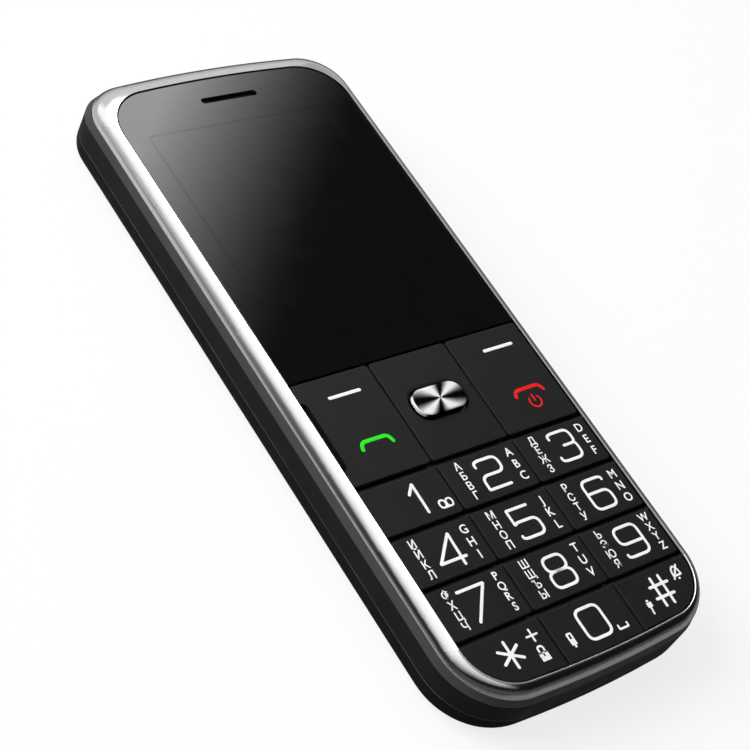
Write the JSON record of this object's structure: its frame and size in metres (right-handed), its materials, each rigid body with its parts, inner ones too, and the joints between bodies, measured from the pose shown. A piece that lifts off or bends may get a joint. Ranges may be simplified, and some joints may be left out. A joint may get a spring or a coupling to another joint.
{
  "type": "mobile phone",
  "caption": "Bar mobile phone with a bright ring around a dark display window and large number keys, a removable back cover and a removable battery.",
  "frame": {"origin": "middle of the front opening's outline, down on the back cover's flat face, at the mount back_rest", "axes": "+X to the phone's right seen from the front, +Y to the earpiece end, +Z out of the display"},
  "size_m": [0.055, 0.1327, 0.0137],
  "materials": {
    "chrome": "bright polished",
    "select_metal": "circular brushed, bright",
    "front_shell": "fine matte",
    "side_shell": "satin",
    "cover_shell": "satin",
    "lens": "glossy, printed black behind",
    "keys": "soft matte, printed and lit legends",
    "white_rubber": "translucent silicone",
    "black_rubber": "matte",
    "mesh": "woven mesh",
    "adhesive": "adhesive tape",
    "film": "clear film",
    "spring_steel": "bare",
    "led": "clear over a yellow die",
    "clear": "clear, polished",
    "display": "dark, glossy",
    "flex": "orange film",
    "board": "green solder mask",
    "connector": "moulded",
    "transducer": "stamped",
    "motor": "plated",
    "battery_case": "satin case with a plain label",
    "gold": "plated",
    "card": "smooth",
    "card_dark": "smooth",
    "screw": "black plated"
  },
  "bodies": {
    "phone": {"chrome_ring": "chrome", "front_housing": "front_shell", "rear_housing": "side_shell", "display_lens": "lens", "lens_adhesive": "adhesive", "earpiece_mesh": "mesh", "keypad_mat": "white_rubber", "metal_domes": "spring_steel", "dome_sheet": "film", "keypad_leds": "led", "lcd_panel": "display", "lcd_frame": "spring_steel", "lcd_gasket": "black_rubber", "lcd_flex": "flex", "main_board": "board", "headphone_jack": "connector", "usb_socket": "spring_steel", "torch_lens": "clear", "torch_led": "led", "shield_cans": "spring_steel", "earpiece_receiver": "transducer", "earpiece_gasket": "black_rubber", "loudspeaker": "transducer", "loudspeaker_gasket": "black_rubber", "loudspeaker_mesh": "mesh", "microphone": "transducer", "microphone_boot": "black_rubber", "vibration_motor": "motor", "antenna": "spring_steel", "battery_connector": "connector", "battery_contacts": "gold", "sim_holder": "spring_steel", "memory_card_holder": "spring_steel", "housing_screws": "screw"},
    "cover": {"battery_cover": "cover_shell"},
    "battery_pack": {"battery": "battery_case", "battery_pads": "gold"},
    "sim": {"sim_card": "card"},
    "memory": {"memory_card": "card_dark"},
    "motor_weight": {"vibration_weight": "motor"},
    "left_function": {"left_function_key": "keys"},
    "right_function": {"right_function_key": "keys"},
    "navigation_carrier": {"navigation_pad": "white_rubber"},
    "navigation": {"navigation_key": "keys"},
    "select": {"select_key": "select_metal"},
    "cap_1": {"key_1": "keys"},
    "cap_2": {"key_2": "keys"},
    "cap_3": {"key_3": "keys"},
    "cap_4": {"key_4": "keys"},
    "cap_5": {"key_5": "keys"},
    "cap_6": {"key_6": "keys"},
    "cap_7": {"key_7": "keys"},
    "cap_8": {"key_8": "keys"},
    "cap_9": {"key_9": "keys"},
    "cap_star": {"key_star": "keys"},
    "cap_0": {"key_0": "keys"},
    "cap_hash": {"key_hash": "keys"}
  },
  "joints": [
    {"name": "key_1_press", "type": "slide", "parent": "phone", "child": "cap_1", "axis": [0, 0, -1], "range_m": [0, 0.00035], "stiffness_N_per_m": 600, "springref_m": -0.001},
    {"name": "key_2_press", "type": "slide", "parent": "phone", "child": "cap_2", "axis": [0, 0, -1], "range_m": [0, 0.00035], "stiffness_N_per_m": 600, "springref_m": -0.001},
    {"name": "key_3_press", "type": "slide", "parent": "phone", "child": "cap_3", "axis": [0, 0, -1], "range_m": [0, 0.00035], "stiffness_N_per_m": 600, "springref_m": -0.001},
    {"name": "key_4_press", "type": "slide", "parent": "phone", "child": "cap_4", "axis": [0, 0, -1], "range_m": [0, 0.00035], "stiffness_N_per_m": 600, "springref_m": -0.001},
    {"name": "key_5_press", "type": "slide", "parent": "phone", "child": "cap_5", "axis": [0, 0, -1], "range_m": [0, 0.00035], "stiffness_N_per_m": 600, "springref_m": -0.001},
    {"name": "key_6_press", "type": "slide", "parent": "phone", "child": "cap_6", "axis": [0, 0, -1], "range_m": [0, 0.00035], "stiffness_N_per_m": 600, "springref_m": -0.001},
    {"name": "key_7_press", "type": "slide", "parent": "phone", "child": "cap_7", "axis": [0, 0, -1], "range_m": [0, 0.00035], "stiffness_N_per_m": 600, "springref_m": -0.001},
    {"name": "key_8_press", "type": "slide", "parent": "phone", "child": "cap_8", "axis": [0, 0, -1], "range_m": [0, 0.00035], "stiffness_N_per_m": 600, "springref_m": -0.001},
    {"name": "key_9_press", "type": "slide", "parent": "phone", "child": "cap_9", "axis": [0, 0, -1], "range_m": [0, 0.00035], "stiffness_N_per_m": 600, "springref_m": -0.001},
    {"name": "key_star_press", "type": "slide", "parent": "phone", "child": "cap_star", "axis": [0, 0, -1], "range_m": [0, 0.00035], "stiffness_N_per_m": 600, "springref_m": -0.001},
    {"name": "key_0_press", "type": "slide", "parent": "phone", "child": "cap_0", "axis": [0, 0, -1], "range_m": [0, 0.00035], "stiffness_N_per_m": 600, "springref_m": -0.001},
    {"name": "key_hash_press", "type": "slide", "parent": "phone", "child": "cap_hash", "axis": [0, 0, -1], "range_m": [0, 0.00035], "stiffness_N_per_m": 600, "springref_m": -0.001},
    {"name": "select_press", "type": "slide", "parent": "phone", "child": "select", "axis": [0, 0, -1], "range_m": [0, 0.00035], "stiffness_N_per_m": 600, "springref_m": -0.001},
    {"name": "left_function_rock", "type": "hinge", "parent": "phone", "child": "left_function", "pos_m": [-0.01653, -0.01305, 0.01185], "axis": [1, 0, 0], "range_deg": [-1.4, 1.4], "stiffness_Nm_per_rad": 0.3},
    {"name": "right_function_rock", "type": "hinge", "parent": "phone", "child": "right_function", "pos_m": [0.01653, -0.01305, 0.01185], "axis": [1, 0, 0], "range_deg": [-1.4, 1.4], "stiffness_Nm_per_rad": 0.3},
    {"name": "navigation_up_down", "type": "hinge", "parent": "phone", "child": "navigation_carrier", "pos_m": [0, -0.01305, 0.0111], "axis": [1, 0, 0], "range_deg": [-1.4, 1.4], "stiffness_Nm_per_rad": 0.3},
    {"name": "navigation_left_right", "type": "hinge", "parent": "navigation_carrier", "child": "navigation", "pos_m": [0, -0.01305, 0.0111], "axis": [0, 1, 0], "range_deg": [-1.4, 1.4], "stiffness_Nm_per_rad": 0.3},
    {"name": "cover_lift", "type": "slide", "parent": "phone", "child": "cover", "axis": [0, 0, -1], "range_m": [0, 0.03]},
    {"name": "battery_lift", "type": "slide", "parent": "phone", "child": "battery_pack", "axis": [0, 0, -1], "range_m": [0, 0.015]},
    {"name": "sim_slide", "type": "slide", "parent": "phone", "child": "sim", "axis": [1, 0, 0], "range_m": [0, 0.0145]},
    {"name": "memory_slide", "type": "slide", "parent": "phone", "child": "memory", "axis": [1, 0, 0], "range_m": [0, 0.012]},
    {"name": "motor_spin", "type": "hinge", "parent": "phone", "child": "motor_weight", "pos_m": [-0.00995, -0.0478, 0.00425], "axis": [1, 0, 0], "continuous": true}
  ],
  "couplings": [
    {"joint": "battery_lift", "follows": "cover_lift", "ratio": 0.5}
  ]
}
